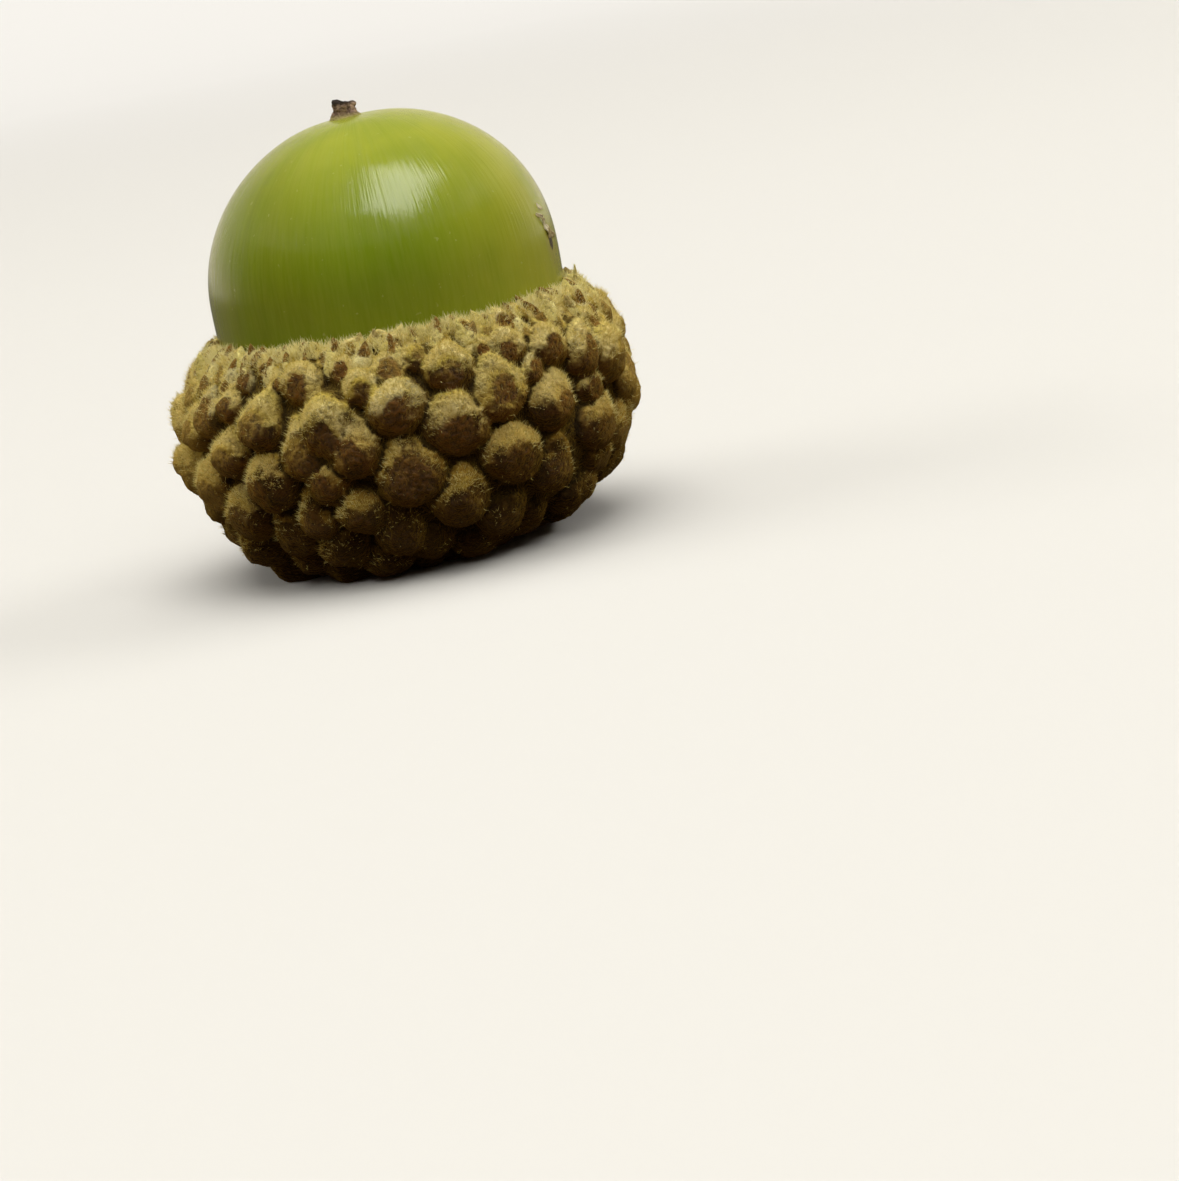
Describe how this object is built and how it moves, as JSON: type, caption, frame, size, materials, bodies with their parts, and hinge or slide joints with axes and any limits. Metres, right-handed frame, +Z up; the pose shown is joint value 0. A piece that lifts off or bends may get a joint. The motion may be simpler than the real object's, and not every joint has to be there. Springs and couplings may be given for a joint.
{
  "type": "acorn",
  "caption": "Fresh green acorn: a smooth rounded nut with a withered tip, held in a warty felted cup that stands on the flat scar left by its stalk.",
  "frame": {"origin": "middle of the flat stalk scar under the cup, which is the middle of the acorn's footprint", "axes": "+Z up along the acorn's axis, from the stalk scar to the withered tip; -Y is the front, the side with the cluster of fused warts; +X is to the right seen from the front, the side with the nut's fuller shoulder"},
  "size_m": [0.0241, 0.0238, 0.0232],
  "materials": {
    "cup": "woody warts under short pale felt, olive buff with dark brown scale tips",
    "nut": "fresh green skin with a waxy gloss and fine lengthwise streaks",
    "style_tip": "dry, crumbly, grey brown"
  },
  "bodies": {
    "root": {"cup": "cup", "nut": "nut", "style_tip": "style_tip"}
  },
  "joints": []
}
